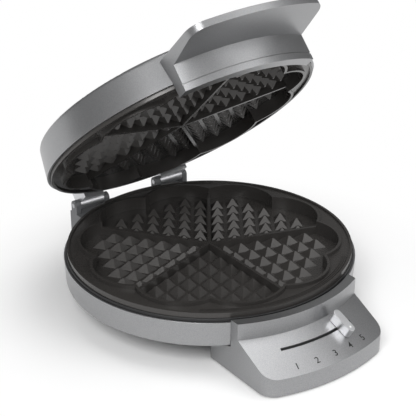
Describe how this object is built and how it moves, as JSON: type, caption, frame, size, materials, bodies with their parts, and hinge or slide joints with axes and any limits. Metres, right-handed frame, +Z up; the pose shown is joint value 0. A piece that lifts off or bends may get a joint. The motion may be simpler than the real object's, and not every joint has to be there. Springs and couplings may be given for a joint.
{
  "type": "waffle maker",
  "caption": "Round electric waffle iron with heart-shaped baking pans, a hinged lid with a blade handle and a front console with a heat slider.",
  "frame": {"origin": "middle of the box of the part with its lid open, on the surface that it stands on", "axes": "+Z up, -Y towards the console and handle, +X to the right of someone facing the console"},
  "size_m": [0.23, 0.285, 0.2558],
  "materials": {
    "silver_plastic": "silver metallic paint, satin",
    "bright_plastic": "bright silver paint",
    "grey_plastic": "moulded, fine texture",
    "black_plastic": "heat-proof moulding",
    "nonstick_aluminium": "dark non-stick coating, semi-gloss",
    "plated_steel": "zinc plated",
    "black_rubber": "matte"
  },
  "bodies": {
    "base": {"base_housing": "silver_plastic", "bottom_cover": "black_plastic", "bottom_screws": "plated_steel", "base_support_ring": "black_plastic", "lower_plate": "nonstick_aluminium", "lower_heater": "plated_steel", "lower_heater_clips": "plated_steel", "lower_reflector": "plated_steel", "lower_plate_studs": "plated_steel", "thermostat_bracket": "plated_steel", "thermostat_body": "plated_steel", "control_console": "silver_plastic", "console_screws": "plated_steel", "console_base": "silver_plastic", "rubber_feet": "black_rubber", "hinge_bracket": "grey_plastic", "hinge_bracket_screws": "plated_steel", "hinge_pin_left": "plated_steel", "hinge_pin_right": "plated_steel", "cord_gland": "black_rubber", "terminal_block": "black_plastic", "base_wiring": "black_rubber", "thermal_fuse": "plated_steel"},
    "slider": {"thermostat_spindle": "plated_steel", "slider_lever": "plated_steel", "slider_knob": "bright_plastic"},
    "lid": {"lid_housing": "silver_plastic", "upper_support_ring": "black_plastic", "upper_plate": "nonstick_aluminium", "upper_heater": "plated_steel", "upper_heater_clips": "plated_steel", "upper_reflector": "plated_steel", "upper_plate_studs": "plated_steel", "hinge_arm_left": "bright_plastic", "hinge_arm_right": "bright_plastic", "hinge_arm_screws": "plated_steel", "lid_handle": "silver_plastic", "lid_handle_screws": "plated_steel", "lid_handle_cover": "silver_plastic"}
  },
  "joints": [
    {"name": "lid_hinge", "type": "hinge", "parent": "base", "child": "lid", "pos_m": [0, 0.12478, 0.0505], "axis": [-1, 0, 0], "range_deg": [-43.7, 56.3]},
    {"name": "heat_slider", "type": "hinge", "parent": "base", "child": "slider", "pos_m": [0, 0.01028, 0.0165], "axis": [0, 0, 1], "range_deg": [-21.4, 3.4]}
  ]
}
